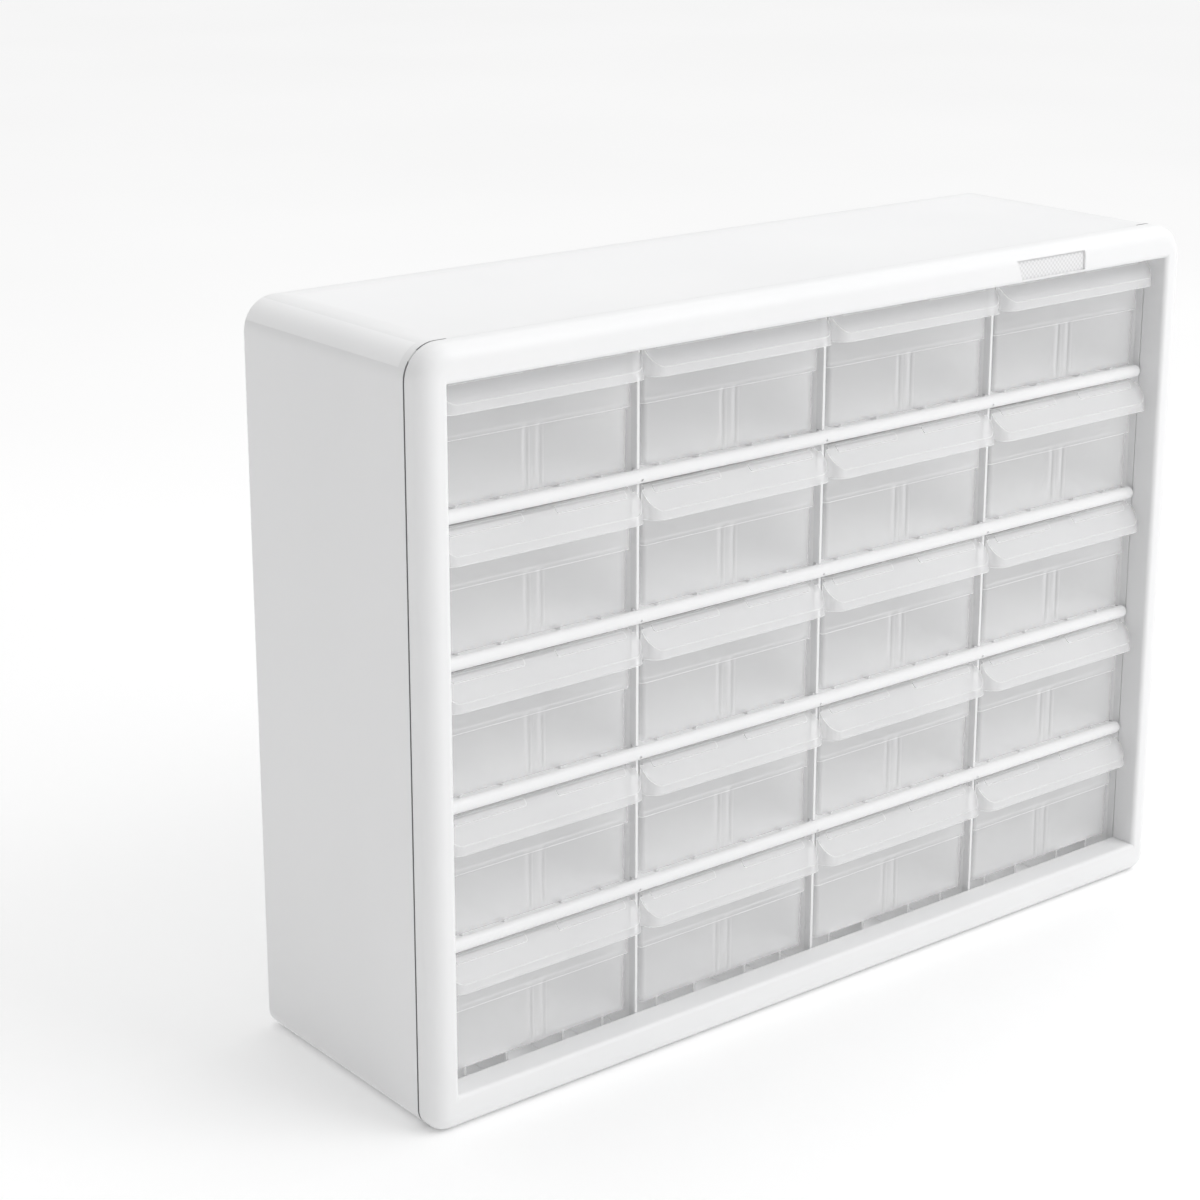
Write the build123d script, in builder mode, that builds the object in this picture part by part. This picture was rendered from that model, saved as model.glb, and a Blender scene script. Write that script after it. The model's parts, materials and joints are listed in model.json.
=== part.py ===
"""Craft stamp storage drawers: a white cabinet with translucent drawers in columns and rows.

Millimetres, +Z up. The origin is on the underside, in the middle of the cabinet.
The drawers face -Y, and +X is to the right of somebody who looks at them.
"""

import os
from math import radians, tan

from build123d import *

# ---------------------------------------------------------------- driving sizes
# The grid of drawers.
columns = 4
rows = 5
column_pitch = 120.0
row_pitch = 70.25

# The cabinet round the grid.
cabinet_depth = 152.0
side_rail = 14.0  # bezel beside the outer drawers
sill_height = 18.25  # underside to the ledge below the bottom drawers
head_height = 11.5  # line above the top row to the top of the cabinet
top_corner_radius = 17.0
bottom_corner_radius = 10.0

# The front bezel.
bezel_depth = 14.0
bezel_wall = 2.2
bezel_roll_radius = 9.0
grid_setback = 15.5  # front of the bezel to the fronts of the partitions
lining_wall = 2.0
opening_lip_radius = 2.5
lintel_clearance = 0.3  # opening's upper edge, above the drawers' rims

# The bare nameplate recess on the top rail.
nameplate_width = 52.0
nameplate_height = 10.0
nameplate_slant = 3.7
nameplate_depth = 1.2
nameplate_lift = 1.8  # above the opening's upper edge
nameplate_inset = 81.0  # from the right side of the cabinet

# The case behind the bezel.
case_wall = 2.5
back_wall = 2.5
back_edge_radius = 5.0
seam_gap = 1.0
top_panel_margin = 23.0
top_panel_back_margin = 12.0
top_panel_depth = 0.4

# The lip on the case that the bezel plugs over.
lip_clearance = 0.2
lip_wall = 1.6
lip_reach = 5.0
lip_root = 4.0

# Ribs inside the case and on the shelves.
rib_thickness = 1.6
rib_bite = 0.6  # how far a rib runs into the wall that carries it
channel_depth = 5.0
channel_setback = 8.0  # channels' ends, behind the fronts of the partitions
glide_setback = 5.0
glide_pair_offset = 29.8  # middle of a pair, from the middle of its column
glide_pair_spacing = 25.0
glide_clearance = 0.3
tied_glides = ((0, -1), (2, -1), (3, 1))  # column from the left, and side of its middle
tie_plate_depth = 8.0
tie_plate_thickness = 1.4

# Shelves, with a round nose along the front.
shelf_thickness = 2.0
nose_radius = 3.4
nose_drop = 0.8  # nose's middle, below its row's line
nose_end_gap = 1.2
nose_end_radius = 2.6
dimple_radius = 0.6
dimple_depth = 1.2
dimple_drop = 1.1  # below the nose's middle

# Upright partitions and side liners, slotted into the shelves.
partition_thickness = 1.6

# Clearances of what slots together inside the case.
slot_clearance = 0.15
end_clearance = 0.3

# Keyholes in the back, for two screws in a wall.
keyhole_spacing = 406.4
keyhole_drop = 45.0  # below the top of the cabinet
keyhole_head_radius = 4.5
keyhole_shank_radius = 2.25
keyhole_rise = 9.0

# Drawers.
drawer_wall = 1.5
drawer_floor = 1.6
drawer_setback = 1.0  # drawer's face, behind the fronts of the partitions
drawer_side_gap = 3.65  # drawer's side to the middle of the partition
drawer_rim_clearance = 1.8  # rim, below the nose above it
drawer_base_clearance = 0.35  # base, above the nose below it
drawer_back_clearance = 4.0
drawer_corner_radius = 2.2
drawer_base_radius = 0.8
step_height = 31.0  # from the drawer's base to where it gets wider
side_step = 1.8
end_step = 0.8
divider_rib_spacing = 8.0
divider_rib_width = 2.4
divider_rib_depth = 1.6
stop_length = 8.0
stop_back_inset = 18.0  # stop's front, from the drawer's back
stop_overlap = 1.9  # stop's top, above the lowest line of the nose

# The hood across the drawer's face that the fingers pull on.
hood_wall = 1.4
hood_reach = 10.2  # rim, in front of the partitions
hood_height = 15.5
hood_side_gap = 0.6  # hood's end to the middle of the partition
hood_partition_gap = 0.5
hood_corner_radius = 8.5
hood_skirt_height = 4.6
hood_draft = 5.0
pad_length = 42.0
pad_height = 4.0
pad_thickness = 0.6
pad_gap = 19.0
pad_edge_gap = 0.8

# ---------------------------------------------------------------- worked out
opening_width = columns * column_pitch
cabinet_width = opening_width + 2 * side_rail
cabinet_height = sill_height + rows * row_pitch + head_height
front = -cabinet_depth / 2
back = cabinet_depth / 2
bezel_back = front + bezel_depth
case_front = bezel_back + seam_gap
grid_front = front + grid_setback
lining_back = grid_front - end_clearance
inner_side = cabinet_width / 2 - case_wall
inner_back = back - back_wall
ceiling = cabinet_height - case_wall
grid_back = inner_back - end_clearance
halving_line = (grid_front + grid_back) / 2
channel_front = grid_front + channel_setback
glide_front = grid_front + glide_setback
liner_middle = (opening_width + partition_thickness) / 2

# Heights from the line above a row of drawers.
nose_lowest = -nose_drop - nose_radius
rim_level = nose_lowest - drawer_rim_clearance
base_level = nose_radius - nose_drop + drawer_base_clearance - row_pitch
step_level = base_level + step_height
hood_rim_level = rim_level - hood_height
glide_level = base_level + row_pitch - glide_clearance
lintel = cabinet_height - head_height + rim_level + lintel_clearance

drawer_face = grid_front + drawer_setback
drawer_back = inner_back - drawer_back_clearance
drawer_half_width = column_pitch / 2 - drawer_side_gap
hood_half_width = column_pitch / 2 - hood_side_gap
hood_front = grid_front - hood_reach
hood_fall = hood_height - hood_skirt_height
hood_run = drawer_face - hood_front - hood_skirt_height * tan(radians(hood_draft))
hood_face = Plane(
    origin=(0, drawer_face, rim_level), x_dir=(1, 0, 0), z_dir=(0, -hood_fall, hood_run)
)


def row_line(row):
    """Height of the line above a row of drawers, counted down from the top."""
    return cabinet_height - head_height - row_pitch * row


def upright(depth):
    """The upright plane at a depth; it faces the front and its own axes are X and Z."""
    return Plane.XZ.offset(-depth)


def block(across, along, rising, mode=Mode.ADD):
    """Add or cut a block, given where it starts and ends along X, Y and Z."""
    spans = (across, along, rising)
    with Locations(tuple((start + end) / 2 for start, end in spans)):
        Box(*(abs(end - start) for start, end in spans), mode=mode)


def cabinet_outline(inset):
    """Draw the cabinet seen from the front, this far inside its outer faces."""
    with Locations((0, cabinet_height / 2)):
        Rectangle(cabinet_width - 2 * inset, cabinet_height - 2 * inset)
    fillet(vertices().group_by(Axis.Y)[-1], top_corner_radius - inset)
    fillet(vertices().group_by(Axis.Y)[0], bottom_corner_radius - inset)


def opening_outline(outset):
    """Draw the drawers' opening seen from the front, this much larger all round."""
    with Locations((0, (lintel + sill_height) / 2)):
        Rectangle(opening_width + 2 * outset, lintel - sill_height + 2 * outset)


def rolled_block(inset):
    """The bezel's outer form, or the hollow behind it when there is an inset."""
    with BuildPart() as form:
        with BuildSketch(upright(bezel_back)):
            cabinet_outline(inset)
        extrude(amount=bezel_depth - inset)
        fillet(form.faces().sort_by(Axis.Y)[0].edges(), bezel_roll_radius - inset)
    return form.part


def save(form, name):
    """Name a finished piece and write it to its own file."""
    form.part.label = name
    export_step(form.part, f"parts/{name}.step")


os.makedirs("parts", exist_ok=True)

# ---------------------------------------------------------------- front bezel
with BuildPart() as nameplate_pocket:
    # Its floor follows the rolled edge, so that it is equally deep all over.
    plate_right = cabinet_width / 2 - nameplate_inset
    plate_low = lintel + nameplate_lift
    with BuildSketch(upright(front)):
        with BuildLine():
            Polyline(
                (plate_right, plate_low),
                (plate_right, plate_low + nameplate_height),
                (plate_right - nameplate_width, plate_low + nameplate_height),
                (plate_right - nameplate_width + nameplate_slant, plate_low),
                close=True,
            )
        make_face()
    extrude(amount=-bezel_roll_radius)
    add(rolled_block(nameplate_depth), mode=Mode.SUBTRACT)

with BuildPart() as front_bezel:
    add(rolled_block(0))
    add(rolled_block(bezel_wall), mode=Mode.SUBTRACT)
    # The lining of the opening, which reaches back to the partitions.
    with BuildSketch(upright(lining_back)):
        opening_outline(lining_wall)
    extrude(amount=lining_back - front - bezel_wall / 2)
    with BuildSketch(upright(lining_back)):
        opening_outline(0)
    extrude(amount=lining_back - front, mode=Mode.SUBTRACT)
    front_face = front_bezel.faces().sort_by(Axis.Y)[0]
    fillet(front_face.inner_wires()[0].edges(), opening_lip_radius)
    add(nameplate_pocket.part, mode=Mode.SUBTRACT)
save(front_bezel, "front_bezel")

# ---------------------------------------------------------------- case shell
with BuildPart() as case_shell:
    with BuildSketch(upright(case_front)):
        cabinet_outline(0)
    extrude(amount=case_front - back)
    fillet(case_shell.faces().sort_by(Axis.Y)[-1].edges(), back_edge_radius)
    with BuildSketch(upright(case_front)):
        cabinet_outline(case_wall)
    extrude(amount=case_front - inner_back, mode=Mode.SUBTRACT)
    # The lip that the bezel plugs over.
    with BuildSketch(upright(case_front + lip_root)):
        cabinet_outline(bezel_wall + lip_clearance)
    extrude(amount=lip_root + lip_reach)
    with BuildSketch(upright(case_front + lip_root)):
        cabinet_outline(bezel_wall + lip_clearance + lip_wall)
    extrude(amount=lip_root + lip_reach, mode=Mode.SUBTRACT)
    # Channels that hold the ends of the shelves and of the partitions.
    with BuildSketch(upright(channel_front)):
        channel_run = channel_depth + rib_bite
        for row in range(1, rows):
            with Locations((0, row_line(row) - nose_drop)):
                with GridLocations(
                    2 * inner_side - channel_depth + rib_bite,
                    shelf_thickness + 2 * slot_clearance + rib_thickness,
                    2,
                    2,
                ):
                    Rectangle(channel_run, rib_thickness)
        with Locations((0, cabinet_height / 2)):
            with GridLocations(
                column_pitch, ceiling - case_wall - channel_depth + rib_bite, columns - 1, 2
            ):
                with GridLocations(
                    partition_thickness + 2 * slot_clearance + rib_thickness, 0, 2, 1
                ):
                    Rectangle(rib_thickness, channel_run)
    extrude(amount=channel_front - inner_back - rib_bite)
    # Glides under the bottom drawers, which stand on the floor of the case.
    with BuildSketch(upright(glide_front)):
        glide_low = case_wall - rib_bite
        glide_high = row_line(rows) + glide_level
        with Locations((0, (glide_low + glide_high) / 2)):
            with GridLocations(column_pitch, 0, columns, 1):
                with GridLocations(2 * glide_pair_offset, 0, 2, 1):
                    with GridLocations(glide_pair_spacing, 0, 2, 1):
                        Rectangle(rib_thickness, glide_high - glide_low)
    extrude(amount=glide_front - inner_back - rib_bite)
    # Short plates that tie three pairs of these glides in front.
    for column, side in tied_glides:
        pair = (column - (columns - 1) / 2) * column_pitch + side * glide_pair_offset
        block(
            (pair - glide_pair_spacing / 2, pair + glide_pair_spacing / 2),
            (glide_front, glide_front + tie_plate_depth),
            (glide_high - tie_plate_thickness, glide_high),
        )
    # The shallow panel sunk into the top.
    block(
        (top_panel_margin - cabinet_width / 2, cabinet_width / 2 - top_panel_margin),
        (case_front, back - top_panel_back_margin),
        (cabinet_height - top_panel_depth, cabinet_height),
        mode=Mode.SUBTRACT,
    )
    # Keyholes through the back.
    with BuildSketch(upright(inner_back)):
        with Locations((0, cabinet_height - keyhole_drop)):
            with GridLocations(keyhole_spacing, 0, 2, 1):
                Circle(keyhole_head_radius)
                with Locations((0, keyhole_rise / 2)):
                    Rectangle(2 * keyhole_shank_radius, keyhole_rise)
                with Locations((0, keyhole_rise)):
                    Circle(keyhole_shank_radius)
    extrude(amount=-back_wall, mode=Mode.SUBTRACT)
save(case_shell, "case_shell")

# ---------------------------------------------------------------- shelves
nose_half_length = opening_width / 2 - nose_end_gap
shelf_half_width = inner_side - end_clearance
plate_low = -nose_drop - shelf_thickness / 2
plate_high = -nose_drop + shelf_thickness / 2

with BuildPart() as nose_bar:
    with BuildSketch(Plane.YZ.offset(-nose_half_length)):
        with Locations((grid_front, -nose_drop)):
            Circle(nose_radius)
    extrude(amount=2 * nose_half_length)
    fillet(nose_bar.edges().filter_by(GeomType.CIRCLE), nose_end_radius)

with BuildPart() as shelf_form:
    # Drawn with its row's line at height zero.
    add(nose_bar.part)
    block((-nose_half_length, nose_half_length), (grid_front, grid_back), (plate_low, plate_high))
    block(
        (-shelf_half_width, shelf_half_width),
        (channel_front - end_clearance, grid_back),
        (plate_low, plate_high),
    )
    # Glides that the drawers above run on.
    with BuildSketch(upright(glide_front)):
        with Locations((0, (glide_level - nose_drop) / 2)):
            with GridLocations(column_pitch, 0, columns, 1):
                with GridLocations(2 * glide_pair_offset, 0, 2, 1):
                    with GridLocations(glide_pair_spacing, 0, 2, 1):
                        Rectangle(rib_thickness, glide_level + nose_drop)
    extrude(amount=glide_front - grid_back)
    # Slots for the partitions and side liners.
    with BuildSketch(Plane.XY.offset(plate_low)):
        with Locations((0, (halving_line + grid_back) / 2)):
            for count, spacing in ((columns - 1, column_pitch), (2, 2 * liner_middle)):
                with GridLocations(spacing, 0, count, 1):
                    Rectangle(partition_thickness + 2 * slot_clearance, grid_back - halving_line)
    extrude(amount=shelf_thickness, mode=Mode.SUBTRACT)
    # A dimple in the nose in front of each partition.
    with BuildSketch(upright(grid_front - nose_radius)):
        with Locations((0, -nose_drop - dimple_drop)):
            with GridLocations(column_pitch, 0, columns - 1, 1):
                Circle(dimple_radius)
    extrude(amount=-dimple_depth, mode=Mode.SUBTRACT)

for row in range(1, rows):
    with BuildPart() as shelf:
        with Locations((0, 0, row_line(row))):
            add(shelf_form.part)
    save(shelf, f"shelf_{row}")

# ---------------------------------------------------------------- partitions and side liners
lip_inset = bezel_wall + lip_clearance + lip_wall + end_clearance
liner_top = lintel + lining_wall
shelf_slot = (halving_line - grid_front, shelf_thickness / 2 + slot_clearance)
nose_pocket = (nose_radius + end_clearance, nose_radius + end_clearance)


def upright_plate(front_top, back_top, *cuts):
    """A plate in the middle of the cabinet; the cuts take the shelves, by reach and half height."""
    side = partition_thickness / 2
    with BuildPart() as plate:
        # The front part stands inside the lip of the case.
        block((-side, side), (grid_front, grid_back), (lip_inset, front_top))
        block(
            (-side, side),
            (channel_front - end_clearance, grid_back),
            (case_wall + end_clearance, back_top),
        )
        for row in range(1, rows):
            middle = row_line(row) - nose_drop
            for reach, half_height in cuts:
                block(
                    (-side, side),
                    (grid_front, grid_front + reach),
                    (middle - half_height, middle + half_height),
                    mode=Mode.SUBTRACT,
                )
    return plate.part


partition_form = upright_plate(
    cabinet_height - lip_inset, ceiling - end_clearance, shelf_slot, nose_pocket
)
liner_form = upright_plate(liner_top, liner_top, shelf_slot)

for number in range(1, columns):
    with BuildPart() as partition:
        with Locations(((number - columns / 2) * column_pitch, 0, 0)):
            add(partition_form)
    save(partition, f"partition_{number}")

for name, side in (("side_liner_left", -1), ("side_liner_right", 1)):
    with BuildPart() as side_liner:
        with Locations((side * liner_middle, 0, 0)):
            add(liner_form)
    save(side_liner, name)


# ---------------------------------------------------------------- drawers
def tub_block(side_inset, end_inset, low, high, corner):
    """A rounded block inside the drawer's outer sides and ends."""
    with BuildPart() as form:
        with BuildSketch(Plane.XY.offset(low)):
            with Locations((0, (drawer_face + drawer_back) / 2)):
                RectangleRounded(
                    2 * (drawer_half_width - side_inset),
                    drawer_back - drawer_face - 2 * end_inset,
                    corner,
                )
        extrude(amount=high - low)
    return form.part


def hood_block(inset, back_limit):
    """The hood's outer form, or the hollow under it when there is an inset."""
    lead = 2 * hood_corner_radius
    with BuildPart() as form:
        with BuildSketch(Plane.XY.offset(hood_rim_level)):
            with Locations((0, (hood_front + inset + drawer_face + lead) / 2)):
                RectangleRounded(
                    2 * (hood_half_width - inset),
                    drawer_face + lead - hood_front - inset,
                    hood_corner_radius - inset,
                )
        extrude(amount=hood_height, taper=hood_draft)
        split(bisect_by=hood_face.offset(-inset), keep=Keep.BOTTOM)
        split(bisect_by=upright(back_limit), keep=Keep.TOP)
        # Its ends stay in front of the partitions.
        for side in (-1, 1):
            block(
                (side * (drawer_half_width - inset), side * column_pitch / 2),
                (grid_front - hood_partition_gap - inset, drawer_face + lead),
                (hood_rim_level, rim_level),
                mode=Mode.SUBTRACT,
            )
    return form.part


with BuildPart() as drawer_form:
    # Drawn with its row's line at height zero.
    add(tub_block(side_step, end_step, base_level, step_level, drawer_corner_radius))
    fillet(drawer_form.faces().sort_by(Axis.Z)[0].edges(), drawer_base_radius)
    add(tub_block(0, 0, step_level, rim_level, drawer_corner_radius))
    inner_corner = drawer_corner_radius - drawer_wall
    floor_level = base_level + drawer_floor
    ledge_level = step_level + drawer_wall
    side_inset = side_step + drawer_wall
    end_inset = end_step + drawer_wall
    add(
        tub_block(side_inset, end_inset, floor_level, ledge_level, inner_corner),
        mode=Mode.SUBTRACT,
    )
    add(
        tub_block(drawer_wall, drawer_wall, ledge_level, rim_level, inner_corner),
        mode=Mode.SUBTRACT,
    )
    # Ribs inside the face and the back, which hold a lengthways divider.
    for side in (-1, 1):
        middle = side * divider_rib_spacing / 2
        for start, inwards in ((drawer_face + end_inset, 1), (drawer_back - end_inset, -1)):
            block(
                (middle - divider_rib_width / 2, middle + divider_rib_width / 2),
                (start - inwards * drawer_wall / 2, start + inwards * divider_rib_depth),
                (base_level + drawer_floor / 2, step_level),
            )
        # Stops on the rims, which catch behind the nose of the shelf above.
        stop_front = drawer_back - stop_back_inset
        block(
            (side * (drawer_half_width - drawer_wall), side * drawer_half_width),
            (stop_front, stop_front + stop_length),
            (rim_level - drawer_wall, nose_lowest + stop_overlap),
        )
    # The hood.
    add(hood_block(0, drawer_face + drawer_wall / 2))
    add(hood_block(hood_wall, drawer_face), mode=Mode.SUBTRACT)
    # Two low pads along the upper edge of the hood.
    with BuildSketch(hood_face):
        with Locations((0, -pad_edge_gap - pad_height / 2)):
            with GridLocations(pad_length + pad_gap, 0, 2, 1):
                RectangleRounded(pad_length, pad_height, pad_height / 4)
    extrude(amount=pad_thickness)

for row in range(rows):
    for column in range(columns):
        with BuildPart() as drawer:
            with Locations(((column - (columns - 1) / 2) * column_pitch, 0, row_line(row))):
                add(drawer_form.part)
        save(drawer, f"drawer_row{row + 1}_column{column + 1}")
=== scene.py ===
"""Craft stamp storage drawers: a white moulded cabinet of frosted drawers, in soft studio light.

Metres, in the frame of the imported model. The drawers face -Y, +X is to the right and +Z is up.
"""
import json
import math

import bmesh
import bpy
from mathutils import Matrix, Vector


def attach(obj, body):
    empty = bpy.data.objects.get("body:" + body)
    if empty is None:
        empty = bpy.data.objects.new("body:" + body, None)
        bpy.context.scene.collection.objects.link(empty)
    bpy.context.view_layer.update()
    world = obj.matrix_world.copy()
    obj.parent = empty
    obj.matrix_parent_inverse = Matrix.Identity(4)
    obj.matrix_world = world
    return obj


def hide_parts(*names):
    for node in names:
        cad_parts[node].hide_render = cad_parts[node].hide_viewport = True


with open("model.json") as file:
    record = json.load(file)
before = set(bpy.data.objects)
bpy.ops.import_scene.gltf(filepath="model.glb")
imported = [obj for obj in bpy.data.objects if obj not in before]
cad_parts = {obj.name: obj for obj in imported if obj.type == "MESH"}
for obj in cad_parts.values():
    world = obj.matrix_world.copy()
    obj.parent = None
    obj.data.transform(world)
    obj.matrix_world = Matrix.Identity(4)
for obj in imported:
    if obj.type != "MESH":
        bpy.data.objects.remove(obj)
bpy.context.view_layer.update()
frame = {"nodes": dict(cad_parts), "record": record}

MM = 0.001

# ---------------------------------------------------------------- sizes
# The grid that the shelves carry.
rows = 5
columns = 4
row_pitch = 70.25 * MM
column_pitch = 120.0 * MM
first_shelf_height = 298.45 * MM  # middle of the upper shelf's plate
grid_front = -60.5 * MM
grid_back = 73.2 * MM
channel_front = -52.8 * MM
halving_line = 6.35 * MM

# A shelf: its nose, plate, slots and glides.
nose_radius = 3.4 * MM
nose_length = 477.6 * MM
nose_end_rounding = 2.8 * MM
dimple_radius = 0.6 * MM
dimple_depth = 1.2 * MM
dimple_drop = 1.1 * MM
nose_rings = 81
ring_crowding = 3.0
nose_facets = 32
dimple_facets = 16
plate_thickness = 2.0 * MM
plate_width = 502.4 * MM
slot_width = 1.9 * MM
glide_thickness = 1.6 * MM
glide_height = 3.45 * MM
glide_front = -55.5 * MM
glide_pair_offset = 29.8 * MM
glide_pair_spacing = 25.0 * MM

# How a copied moulding is welded and softened.
weld_distance = 0.002 * MM
flat_angle = math.radians(0.4)
crisp_angle = math.radians(18.0)
drawer_edge_width = 0.7 * MM
top_panel_height = 380.6 * MM
top_panel_slope = 1.4 * MM

# Where the white plastic looks different: a painted glow inside the walls, painted shade in the seam, and
# the stipple in the nameplate.
cabinet_half_width = 254.0 * MM
cabinet_height = 381.0 * MM
wall_skin = 1.2 * MM
inner_depths = (-56.0 * MM, 74.5 * MM)
inner_painted_glow = 0.062
seam_floor = 3.2 * MM
seam_depths = (-62.05 * MM, -60.95 * MM)
seam_shade_grey = (0.34, 0.34, 0.35)
plate_across = (121.0 * MM, 173.0 * MM)
plate_heights = (365.5 * MM, 375.7 * MM)
plate_depths = (-74.95 * MM, -70.0 * MM)
plate_grey = (0.87, 0.87, 0.875)
dot_grey = (0.76, 0.76, 0.765)
stipple_pitch = 1.4 * MM
shell_edge_width = 0.7 * MM

# Where a drawer's wall is thicker, from its middle and from the ledge under its row.
sill_height = 18.25 * MM
rib_span = (2.8 * MM, 5.2 * MM)
rib_heights = (2.9 * MM, 33.9 * MM)
rib_cover = 0.38
rib_zone = (-1.0 * MM, 7.0 * MM)
pad_depths = (-63.5 * MM, -56.0 * MM)
pad_heights = (60.8 * MM, 64.9 * MM)
soft_edge_share = 0.4

# The plastics' finish. A noise has its cells per metre, detail, roughness and stretch; a tint and a
# roughness run from their least to their most over a noise.
tint_stops = (0.3, 0.7)
edge_samples = 4
edge_match = (1.0, 0.8)  # how well rounded and plain normals agree, on a face and on an edge
grain_height = 0.02 * MM
shell_flow = (9.0, 2.0, 0.4, (1.0, 1.0, 0.4))
shell_tints = ((0.905, 0.907, 0.912), (0.93, 0.931, 0.935))
shell_sheen = (140.0, 2.0)
shell_roughness = (0.36, 0.48)
shell_grain = (2600.0, 2.0, 0.6)
shell_grain_strength = 0.25
shell_specular = 0.45
shell_subsurface = 0.12
shell_light_depth = 1.5 * MM
drawer_clouds = (22.0, 3.0, 0.5, (1.0, 1.0, 0.6))
drawer_tints = ((0.945, 0.945, 0.955), (0.975, 0.975, 0.98))
drawer_sheen = (90.0, 2.0)
drawer_roughness = (0.30, 0.40)
drawer_frost = (1800.0, 2.0, 0.6)
drawer_frost_strength = 0.3
drawer_cover = (0.34, 0.9)  # how much a wall and its edges hide what lies behind
drawer_light_cover = 0.12  # the share of that cover that dims the light inside
# Painted glow: light the drawers give off of their own, standing in for light scattered in the plastic.
drawer_painted_glow = 0.035
drawer_transmission = 0.2
drawer_ior = 1.2

# The photograph's camera, fitted to the grid of drawers and the cabinet's outline.
photo_size = 1200.0
sensor_width = 36.0
focal_pixels = 2655.6
horizon_pixel = 500.0
camera_place = Vector((-0.8918, -1.0014, 0.6336))
camera_aim = Vector((0.59881, 0.75257, -0.27397))

# The studio.
floor_size = 40.0
key_place = (0.8, -1.35, 1.7)
key_target = (0.1, 0.0, 0.15)
key_size = 1.3
key_energy = 12.5
sky_brightness = 0.22
sky_contrast = 1.0
sky_floor = 0.12
sky_side = Vector((0.32, 0.0, 0.95)).normalized()
floor_noise = (1.5, 2.0)
floor_tints = ((0.965, 0.965, 0.965), (0.985, 0.985, 0.985))
floor_roughness = 0.9
floor_glow = 0.09
white_light = (1.0, 1.0, 1.0, 1.0)

drawers = sorted(name for name in frame["nodes"] if name.startswith("drawer_row"))
shelves = sorted(name for name in frame["nodes"] if name.startswith("shelf_"))
uprights = sorted(name for name in frame["nodes"] if name.startswith(("partition_", "side_liner_")))
body_of_node = {
    node: body for body, nodes in frame["record"]["behaviour"]["bodies"].items() for node in nodes
}


# ---------------------------------------------------------------- node trees
def put(tree, kind, inputs=None, **settings):
    """Add a node; each of its inputs takes a value or another node's socket."""
    node = tree.nodes.new(kind)
    for key, value in settings.items():
        setattr(node, key, value)
    for key, value in (inputs or {}).items():
        if isinstance(value, bpy.types.NodeSocket):
            tree.links.new(value, node.inputs[key])
        else:
            node.inputs[key].default_value = value
    return node


def math_on(tree, operation, *values):
    """The result of a math node on these values or sockets."""
    return put(tree, "ShaderNodeMath", dict(enumerate(values)), operation=operation).outputs[0]


# ---------------------------------------------------------------- materials
def new_material(name):
    """A fresh material, its node tree and its main shader."""
    material = bpy.data.materials.new(name)
    material.use_nodes = True
    tree = material.node_tree
    shader = next(node for node in tree.nodes if node.type == "BSDF_PRINCIPLED")
    return material, tree, shader


def own_place(tree):
    """A point's place in its object's own coordinates."""
    return tree.nodes.new("ShaderNodeTexCoord").outputs["Object"]


def own_axes(tree):
    """The outputs X, Y and Z of a point's place in its object's own coordinates."""
    return put(tree, "ShaderNodeSeparateXYZ", {"Vector": own_place(tree)}).outputs


def noise(tree, scale, detail, roughness=0.5, stretch=(1.0, 1.0, 1.0)):
    """A noise over the object's own coordinates, in cells per metre; returns its value socket."""
    place = put(tree, "ShaderNodeMapping", {"Vector": own_place(tree), "Scale": stretch})
    return put(tree, "ShaderNodeTexNoise", {
        "Vector": place.outputs["Vector"], "Scale": scale, "Detail": detail, "Roughness": roughness,
    }).outputs["Fac"]


def two_tints(tree, source, tints):
    """Two colours spread over the middle of a noise; returns the colour socket."""
    node = put(tree, "ShaderNodeValToRGB", {"Fac": source})
    for element, stop, tint in zip(node.color_ramp.elements, tint_stops, tints):
        element.position = stop
        element.color = (*tint, 1.0)
    return node.outputs["Color"]


def spread(tree, source, low, high):
    """A value stretched from 0..1 to a narrow span; returns the value socket."""
    return put(tree, "ShaderNodeMapRange", {
        "Value": source, "To Min": low, "To Max": high,
    }).outputs["Result"]


def grain(tree, shader, source, strength):
    """Press a value into the surface as a fine bump."""
    bump = put(tree, "ShaderNodeBump", {
        "Height": source, "Distance": grain_height, "Strength": strength,
    })
    tree.links.new(bump.outputs["Normal"], shader.inputs["Normal"])
    return bump


def region(tree, **spans):
    """One where a point of the object lies between two limits along each axis given, else zero."""
    along = own_axes(tree)
    return between(tree, *((along[axis.upper()], low, high) for axis, (low, high) in spans.items()))


def between(tree, *limits):
    """One where every value is between its two limits, else zero."""
    inside = 1.0
    for value, low, high in limits:
        inside = math_on(tree, "MULTIPLY", inside, math_on(tree, "GREATER_THAN", value, low))
        inside = math_on(tree, "MULTIPLY", inside, math_on(tree, "LESS_THAN", value, high))
    return inside


def tinted(tree, color, mask, other):
    """A colour socket that turns to another colour where a mask is one; returns the colour socket."""
    mix = put(tree, "ShaderNodeMix", {0: mask}, data_type="RGBA")
    tree.links.new(color, mix.inputs[6])
    mix.inputs[7].default_value = (*other, 1.0)
    return mix.outputs[2]


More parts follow.
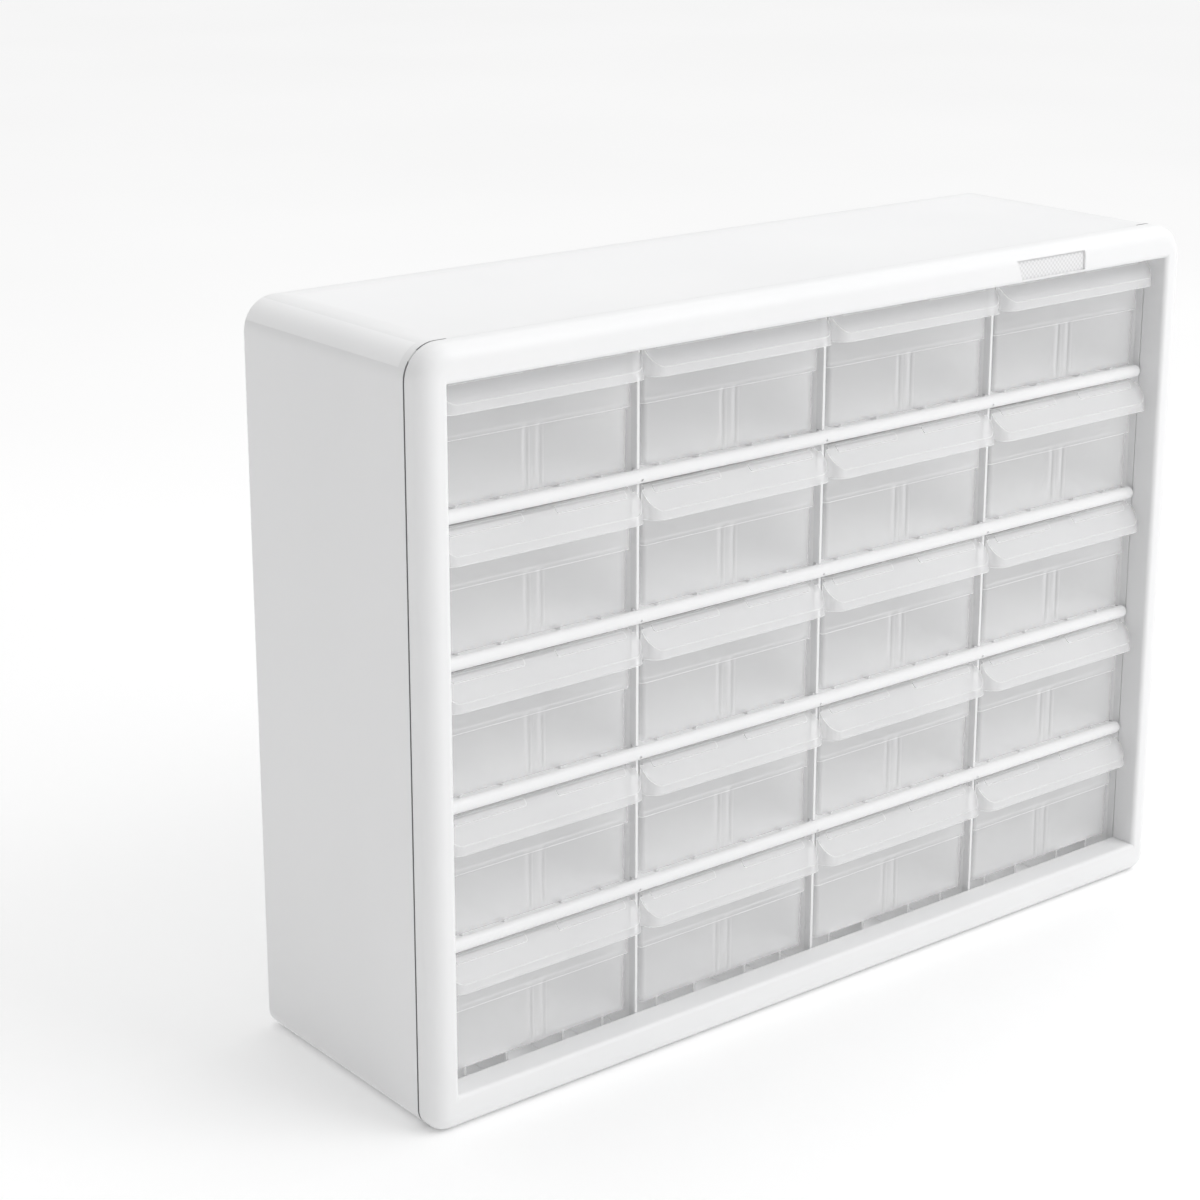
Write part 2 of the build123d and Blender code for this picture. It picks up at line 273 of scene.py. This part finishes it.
def white_shell_plastic():
    """White polystyrene: satin, with the fine grain of the mould and faint flow shades.

    The inside has a faint painted glow, standing in for light let through the walls; the seam is
    darkened with painted shade, and the floor of the nameplate recess is stippled.
    """
    material, tree, shader = new_material("white_shell_plastic")
    # Painted glow: the inside of the cabinet gives off faint light of its own, standing in for light let
    # through the walls.
    across, upwards = cabinet_half_width - wall_skin, cabinet_height - wall_skin
    inside = region(tree, x=(-across, across), y=inner_depths, z=(wall_skin, upwards))
    tree.links.new(inside, shader.inputs["Emission Color"])
    shader.inputs["Emission Strength"].default_value = inner_painted_glow

    # Painted shade: the seam between the bezel and the case is darkened in its colour, where the groove's
    # shadow falls.
    across, upwards = cabinet_half_width - seam_floor, cabinet_height - seam_floor
    core = region(tree, x=(-across, across), z=(seam_floor, upwards))
    seam_shade = math_on(tree, "SUBTRACT", region(tree, y=seam_depths), core)
    plate = region(tree, x=plate_across, y=plate_depths, z=plate_heights)
    tint = two_tints(tree, noise(tree, *shell_flow), shell_tints)
    tint = tinted(tree, tint, seam_shade, seam_shade_grey)
    tint = tinted(tree, tint, plate, plate_grey)
    stipple = put(tree, "ShaderNodeTexChecker", {
        "Vector": own_place(tree), "Scale": 1.0 / stipple_pitch,
    })
    dots = math_on(tree, "MULTIPLY", plate, stipple.outputs["Fac"])
    tree.links.new(tinted(tree, tint, dots, dot_grey), shader.inputs["Base Color"])

    sheen = spread(tree, noise(tree, *shell_sheen), *shell_roughness)
    tree.links.new(sheen, shader.inputs["Roughness"])
    bump = grain(tree, shader, noise(tree, *shell_grain), shell_grain_strength)
    tree.links.new(rounded_edges(tree, shell_edge_width), bump.inputs["Normal"])
    shader.inputs["Specular IOR Level"].default_value = shell_specular
    shader.inputs["Subsurface Weight"].default_value = shell_subsurface
    shader.inputs["Subsurface Radius"].default_value = (1.0, 1.0, 1.0)
    shader.inputs["Subsurface Scale"].default_value = shell_light_depth
    return material


def rounded_edges(tree, width):
    """Normals that turn over edges and corners as if they were rounded this far."""
    return put(tree, "ShaderNodeBevel", {"Radius": width}, samples=edge_samples).outputs["Normal"]


def edge_mask(tree, width):
    """One on a moulding's edges and corners, fading to zero this far away from them."""
    plain = put(tree, "ShaderNodeNewGeometry").outputs["Normal"]
    rounded = rounded_edges(tree, width)
    match = put(tree, "ShaderNodeVectorMath", {0: rounded, 1: plain}, operation="DOT_PRODUCT")
    on_face, on_edge = edge_match
    return put(tree, "ShaderNodeMapRange", {
        "Value": match.outputs["Value"], "From Min": on_face, "From Max": on_edge,
    }).outputs["Result"]


def frosted_drawer_plastic():
    """Translucent polypropylene: see-through walls with faint clouds, and milky edges."""
    material, tree, shader = new_material("frosted_drawer_plastic")
    tint = two_tints(tree, noise(tree, *drawer_clouds), drawer_tints)
    tree.links.new(tint, shader.inputs["Base Color"])
    sheen = spread(tree, noise(tree, *drawer_sheen), *drawer_roughness)
    tree.links.new(sheen, shader.inputs["Roughness"])
    # Each drawer's own height and distance from its middle, so that all twenty are painted alike.
    along = own_axes(tree)
    from_wall = math_on(tree, "PINGPONG", along["X"], column_pitch / 2)
    aside = math_on(tree, "SUBTRACT", column_pitch / 2, from_wall)
    sill_up = math_on(tree, "SUBTRACT", along["Z"], sill_height)
    risen = math_on(tree, "MODULO", sill_up, row_pitch)
    # The edges of the ribs and pads are fainter than the others.
    near_ribs = between(tree, (aside, *rib_zone), (risen, *rib_heights))
    near_pads = between(tree, (along["Y"], *pad_depths), (risen, *pad_heights))
    share = spread(tree, math_on(tree, "MAXIMUM", near_ribs, near_pads), 1.0, soft_edge_share)
    milky_edges = math_on(tree, "MULTIPLY", edge_mask(tree, drawer_edge_width), share)
    cover = spread(tree, milky_edges, *drawer_cover)
    # The wall is milkier where the ribs for the divider thicken it.
    ribs = between(tree, (aside, *rib_span), (risen, *rib_heights))
    cover = math_on(tree, "MAXIMUM", cover, math_on(tree, "MULTIPLY", ribs, rib_cover))
    # Light on its way to what lies behind passes these thin walls almost freely.
    ray = tree.nodes.new("ShaderNodeLightPath")
    indirect = math_on(tree, "ADD", ray.outputs["Is Shadow Ray"], ray.outputs["Is Diffuse Ray"])
    dimming = spread(tree, indirect, 1.0, drawer_light_cover)
    tree.links.new(math_on(tree, "MULTIPLY", cover, dimming), shader.inputs["Alpha"])
    grain(tree, shader, noise(tree, *drawer_frost), drawer_frost_strength)
    # Painted glow: the walls give off a little light, standing in for light scattered in the plastic.
    shader.inputs["Emission Color"].default_value = white_light
    shader.inputs["Emission Strength"].default_value = drawer_painted_glow
    shader.inputs["Transmission Weight"].default_value = drawer_transmission
    shader.inputs["IOR"].default_value = drawer_ior
    return material


def studio_floor_paint():
    """A pale seamless floor."""
    material, tree, shader = new_material("studio_floor_paint")
    tint = two_tints(tree, noise(tree, *floor_noise), floor_tints)
    tree.links.new(tint, shader.inputs["Base Color"])
    shader.inputs["Roughness"].default_value = floor_roughness
    shader.inputs["Emission Color"].default_value = white_light
    shader.inputs["Emission Strength"].default_value = floor_glow
    return material


white_plastic = white_shell_plastic()
drawer_plastic = frosted_drawer_plastic()
floor_paint = studio_floor_paint()


# ---------------------------------------------------------------- mouldings
def crisp_edges(mesh):
    """Shade a mesh smoothly, apart from its real edges."""
    work = bmesh.new()
    work.from_mesh(mesh)
    for edge in work.edges:
        edge.smooth = len(edge.link_faces) == 2 and edge.calc_face_angle(math.pi) < crisp_angle
    for face in work.faces:
        face.smooth = True
    work.to_mesh(mesh)
    work.free()


def welded_mesh(node, name):
    """A copy of a solid's mesh with its loose triangles joined and flat faces made whole."""
    mesh = frame["nodes"][node].data.copy()
    mesh.name = name
    work = bmesh.new()
    work.from_mesh(mesh)
    bmesh.ops.remove_doubles(work, verts=work.verts, dist=weld_distance)
    bmesh.ops.dissolve_limit(work, angle_limit=flat_angle, verts=work.verts, edges=work.edges)
    work.to_mesh(mesh)
    work.free()
    mesh.materials.clear()
    return mesh


def soften_top_panel(mesh):
    """Slope the low step round the panel in the top, whose floor is drawn in a little."""
    for vertex in mesh.vertices:
        if abs(vertex.co.z - top_panel_height) < weld_distance:
            vertex.co.x -= math.copysign(top_panel_slope, vertex.co.x)
            if vertex.co.y > 0.0:
                vertex.co.y -= top_panel_slope


def evaluated_mesh(name, mesh, add_modifiers):
    """The plain mesh that a mesh becomes under the modifiers that a function gives it."""
    carrier = bpy.data.objects.new(name, mesh)
    bpy.context.scene.collection.objects.link(carrier)
    add_modifiers(carrier)
    graph = bpy.context.evaluated_depsgraph_get()
    result = bpy.data.meshes.new_from_object(carrier.evaluated_get(graph))
    result.name = name
    carrier.modifiers.clear()
    bpy.data.objects.remove(carrier)
    return result


def add_piece(name, mesh, body, slot, material, *nodes):
    """Put a finished mesh into the scene on its body, in place of the solids it stands for."""
    piece = bpy.data.objects.new(name, mesh)
    bpy.context.scene.collection.objects.link(piece)
    crisp_edges(mesh)
    mesh.materials.clear()
    mesh.materials.append(material)
    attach(piece, body)
    if nodes:
        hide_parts(*nodes)
    return piece


# ---------------------------------------------------------------- shelves
def vector_of(tree, x=0.0, y=0.0, z=0.0):
    """A vector made of three values or sockets."""
    return put(tree, "ShaderNodeCombineXYZ", {"X": x, "Y": y, "Z": z}).outputs[0]


def span_block(tree, width, start, end, low, high):
    """A block across the middle, between two depths and two heights."""
    depth = math_on(tree, "SUBTRACT", end, start)
    height = math_on(tree, "SUBTRACT", high, low)
    cube = put(tree, "GeometryNodeMeshCube", {"Size": vector_of(tree, width, depth, height)})
    middle_y = math_on(tree, "MULTIPLY", math_on(tree, "ADD", start, end), 0.5)
    middle_z = math_on(tree, "MULTIPLY", math_on(tree, "ADD", low, high), 0.5)
    place = vector_of(tree, 0.0, middle_y, middle_z)
    moved = put(tree, "GeometryNodeTransform", {"Geometry": cube.outputs["Mesh"], "Translation": place})
    return moved.outputs["Geometry"]


def across(tree, geometry, count, spacing):
    """Copies of a geometry side by side across the cabinet, evenly about the middle."""
    steps = math_on(tree, "MULTIPLY", math_on(tree, "SUBTRACT", count, 1.0), -0.5)
    line = put(tree, "GeometryNodeMeshLine", {
        "Count": count,
        "Start Location": vector_of(tree, math_on(tree, "MULTIPLY", steps, spacing)),
        "Offset": vector_of(tree, spacing),
    })
    return put(tree, "GeometryNodeInstanceOnPoints", {
        "Points": line.outputs["Mesh"], "Instance": geometry,
    }).outputs["Instances"]


def round_nose(tree, size):
    """The bar along the front of a shelf, with rounded ends and a dimple before each partition."""
    half = math_on(tree, "MULTIPLY", size["Nose Length"], 0.5)
    line = put(tree, "GeometryNodeCurvePrimitiveLine", {"Start": (-1.0, 0.0, 0.0), "End": (1.0, 0.0, 0.0)})
    fine = put(tree, "GeometryNodeResampleCurve", {"Curve": line.outputs["Curve"], "Count": nose_rings})
    # Rings crowd towards both ends, where the bar gets thinner.
    place = put(tree, "GeometryNodeInputPosition").outputs["Position"]
    along = put(tree, "ShaderNodeSeparateXYZ", {"Vector": place}).outputs["X"]
    left = math_on(tree, "SUBTRACT", 1.0, math_on(tree, "ABSOLUTE", along))
    crowded = math_on(tree, "SUBTRACT", 1.0, math_on(tree, "POWER", left, ring_crowding))
    signed = math_on(tree, "MULTIPLY", crowded, math_on(tree, "SIGN", along))
    reach = math_on(tree, "MULTIPLY", signed, half)
    spine = put(tree, "GeometryNodeSetPosition", {
        "Geometry": fine.outputs["Curve"], "Position": vector_of(tree, reach),
    })
    rounding = size["End Rounding"]
    from_end = math_on(tree, "SUBTRACT", half, math_on(tree, "ABSOLUTE", along))
    lack = math_on(tree, "MAXIMUM", math_on(tree, "SUBTRACT", rounding, from_end), 0.0)
    squares = math_on(
        tree, "SUBTRACT", math_on(tree, "POWER", rounding, 2.0), math_on(tree, "POWER", lack, 2.0)
    )
    arc = math_on(tree, "SQRT", math_on(tree, "MAXIMUM", squares, 0.0))
    girth = math_on(tree, "ADD", math_on(tree, "SUBTRACT", size["Nose Radius"], rounding), arc)
    ring = put(tree, "GeometryNodeCurvePrimitiveCircle", {"Resolution": nose_facets, "Radius": 1.0})
    bar = put(tree, "GeometryNodeCurveToMesh", {
        "Curve": spine.outputs["Geometry"],
        "Profile Curve": ring.outputs["Curve"],
        "Scale": girth,
        "Fill Caps": True,
    })
    drill = put(tree, "GeometryNodeMeshCylinder", {
        "Vertices": dimple_facets,
        "Radius": size["Dimple Radius"],
        "Depth": math_on(tree, "MULTIPLY", size["Dimple Depth"], 2.0),
    })
    front_of_nose = math_on(tree, "MULTIPLY", size["Nose Radius"], -1.0)
    turned = put(tree, "GeometryNodeTransform", {
        "Geometry": drill.outputs["Mesh"],
        "Translation": vector_of(
            tree, 0.0, front_of_nose, math_on(tree, "MULTIPLY", size["Dimple Drop"], -1.0)
        ),
        "Rotation": (math.radians(90.0), 0.0, 0.0),
    })
    walls = math_on(tree, "SUBTRACT", size["Columns"], 1.0)
    drills = across(tree, turned.outputs["Geometry"], walls, size["Column Pitch"])
    solid_drills = put(tree, "GeometryNodeRealizeInstances", {"Geometry": drills})
    dimpled = put(tree, "GeometryNodeMeshBoolean", {
        "Mesh 1": bar.outputs["Mesh"], "Mesh 2": solid_drills.outputs["Geometry"],
    }, operation="DIFFERENCE", solver="EXACT")
    return dimpled.outputs["Mesh"]


def slotted_plate(tree, size):
    """The plate behind the nose: whole in front, and open at the back where the uprights pass."""
    half_thick = math_on(tree, "MULTIPLY", size["Plate Thickness"], 0.5)
    low = math_on(tree, "MULTIPLY", half_thick, -1.0)
    grid_width = math_on(tree, "MULTIPLY", size["Columns"], size["Column Pitch"])
    tab = math_on(tree, "MULTIPLY", math_on(tree, "SUBTRACT", size["Plate Width"], grid_width), 0.5)
    tab_width = math_on(tree, "SUBTRACT", tab, size["Slot Width"])
    bay_width = math_on(tree, "SUBTRACT", size["Column Pitch"], size["Slot Width"])
    bay = span_block(tree, bay_width, size["Halving Line"], size["Grid Depth"], low, half_thick)
    end_tab = span_block(tree, tab_width, size["Halving Line"], size["Grid Depth"], low, half_thick)
    setback = size["Channel Setback"]
    return [
        span_block(tree, size["Nose Length"], 0.0, setback, low, half_thick),
        span_block(tree, size["Plate Width"], setback, size["Halving Line"], low, half_thick),
        across(tree, bay, size["Columns"], size["Column Pitch"]),
        across(tree, end_tab, 2, math_on(tree, "SUBTRACT", size["Plate Width"], tab_width)),
    ]


def glide_pairs(tree, size):
    """Upright ribs on the plate, two pairs in each column, that the drawers run on."""
    rib = span_block(
        tree, size["Glide Thickness"], size["Glide Setback"], size["Grid Depth"], 0.0, size["Glide Height"]
    )
    pair = across(tree, rib, 2, size["Glide Spacing"])
    both = across(tree, pair, 2, math_on(tree, "MULTIPLY", size["Glide Offset"], 2.0))
    return across(tree, both, size["Columns"], size["Column Pitch"])


def shelf_tree():
    """Geometry nodes that make every shelf, drawn from the upper one's nose downwards."""
    tree = bpy.data.node_groups.new("shelves", "GeometryNodeTree")
    for name, value in shelf_sizes.items():
        kind = "NodeSocketInt" if isinstance(value, int) else "NodeSocketFloat"
        tree.interface.new_socket(name=name, in_out="INPUT", socket_type=kind)
    tree.interface.new_socket(name="Plastic", in_out="INPUT", socket_type="NodeSocketMaterial")
    tree.interface.new_socket(name="Shelves", in_out="OUTPUT", socket_type="NodeSocketGeometry")
    size = tree.nodes.new("NodeGroupInput").outputs
    joined = put(tree, "GeometryNodeJoinGeometry")
    for part in [glide_pairs(tree, size), *slotted_plate(tree, size), round_nose(tree, size)]:
        tree.links.new(part, joined.inputs[0])
    line = put(tree, "GeometryNodeMeshLine", {
        "Count": size["Shelves"],
        "Start Location": vector_of(tree, 0.0, size["Front"], size["Height"]),
        "Offset": vector_of(tree, 0.0, 0.0, math_on(tree, "MULTIPLY", size["Row Pitch"], -1.0)),
    })
    stack = put(tree, "GeometryNodeInstanceOnPoints", {
        "Points": line.outputs["Mesh"], "Instance": joined.outputs["Geometry"],
    })
    real = put(tree, "GeometryNodeRealizeInstances", {"Geometry": stack.outputs["Instances"]})
    painted = put(tree, "GeometryNodeSetMaterial", {
        "Geometry": real.outputs["Geometry"], "Material": size["Plastic"],
    })
    end = tree.nodes.new("NodeGroupOutput")
    tree.links.new(painted.outputs["Geometry"], end.inputs["Shelves"])
    return tree


shelf_sizes = {
    "Shelves": rows - 1,
    "Columns": columns,
    "Row Pitch": row_pitch,
    "Column Pitch": column_pitch,
    "Front": grid_front,
    "Height": first_shelf_height,
    "Grid Depth": grid_back - grid_front,
    "Channel Setback": channel_front - grid_front,
    "Halving Line": halving_line - grid_front,
    "Nose Length": nose_length,
    "Nose Radius": nose_radius,
    "End Rounding": nose_end_rounding,
    "Dimple Radius": dimple_radius,
    "Dimple Depth": dimple_depth,
    "Dimple Drop": dimple_drop,
    "Plate Thickness": plate_thickness,
    "Plate Width": plate_width,
    "Slot Width": slot_width,
    "Glide Thickness": glide_thickness,
    "Glide Height": glide_height,
    "Glide Setback": glide_front - grid_front,
    "Glide Spacing": glide_pair_spacing,
    "Glide Offset": glide_pair_offset,
}


def build_shelves(carrier):
    """Give the carrier the shelf tree and its sizes, each set by its socket's identifier."""
    modifier = carrier.modifiers.new("shelves", "NODES")
    modifier.node_group = shelf_tree()
    values = {**shelf_sizes, "Plastic": white_plastic}
    for item in modifier.node_group.interface.items_tree:
        if item.in_out == "INPUT":
            modifier[item.identifier] = values[item.name]


shelf_mesh = evaluated_mesh("shelves", bpy.data.meshes.new("shelf_seed"), build_shelves)
add_piece("shelves_with_noses", shelf_mesh, "cabinet", "white_shell", white_plastic, *shelves)

case_mesh = welded_mesh("case_shell", "case_shell")
soften_top_panel(case_mesh)
add_piece("case_shell_moulding", case_mesh, "cabinet", "white_shell", white_plastic, "case_shell")
for node in ["front_bezel", *uprights]:
    add_piece(f"{node}_moulding", welded_mesh(node, node), "cabinet", "white_shell", white_plastic, node)

for node in drawers:
    mesh = welded_mesh(node, node)
    add_piece(f"{node}_moulding", mesh, body_of_node[node], "drawer_plastic", drawer_plastic, node)


# ---------------------------------------------------------------- studio
def add_floor():
    """A wide floor just under the cabinet."""
    work = bmesh.new()
    bmesh.ops.create_grid(work, x_segments=2, y_segments=2, size=floor_size / 2)
    mesh = bpy.data.meshes.new("floor")
    work.to_mesh(mesh)
    work.free()
    mesh.materials.append(floor_paint)
    floor = bpy.data.objects.new("floor", mesh)
    bpy.context.scene.collection.objects.link(floor)


def add_soft_light(name, place, target, size, energy):
    """A large square lamp that points at a target."""
    data = bpy.data.lights.new(name, "AREA")
    data.size = size
    data.energy = energy
    lamp = bpy.data.objects.new(name, data)
    lamp.location = place
    lamp.rotation_mode = "QUATERNION"
    lamp.rotation_quaternion = (Vector(target) - Vector(place)).to_track_quat("-Z", "Y")
    bpy.context.scene.collection.objects.link(lamp)


def add_camera():
    """The camera of the photograph."""
    data = bpy.data.cameras.new("camera")
    data.sensor_width = sensor_width
    data.lens = focal_pixels * sensor_width / photo_size
    data.shift_y = (horizon_pixel - photo_size / 2) / photo_size
    camera = bpy.data.objects.new("camera", data)
    camera.location = camera_place
    camera.rotation_mode = "QUATERNION"
    camera.rotation_quaternion = camera_aim.to_track_quat("-Z", "Y")
    bpy.context.scene.collection.objects.link(camera)
    bpy.context.scene.camera = camera


def add_sky():
    """Soft light from all round, brighter from above and from the right."""
    world = bpy.data.worlds.new("studio")
    world.use_nodes = True
    tree = world.node_tree
    way = tree.nodes.new("ShaderNodeTexCoord").outputs["Generated"]
    lean = put(tree, "ShaderNodeVectorMath", {0: way, 1: sky_side}, operation="DOT_PRODUCT")
    glow = math_on(tree, "MULTIPLY_ADD", lean.outputs["Value"], sky_contrast, sky_brightness)
    glow = math_on(tree, "MAXIMUM", glow, sky_floor)
    tree.links.new(glow, tree.nodes["Background"].inputs["Strength"])
    tree.nodes["Background"].inputs["Color"].default_value = white_light
    bpy.context.scene.world = world


add_floor()
add_soft_light("key_light", key_place, key_target, key_size, key_energy)
add_camera()
add_sky()
bpy.context.scene.view_settings.view_transform = "Standard"
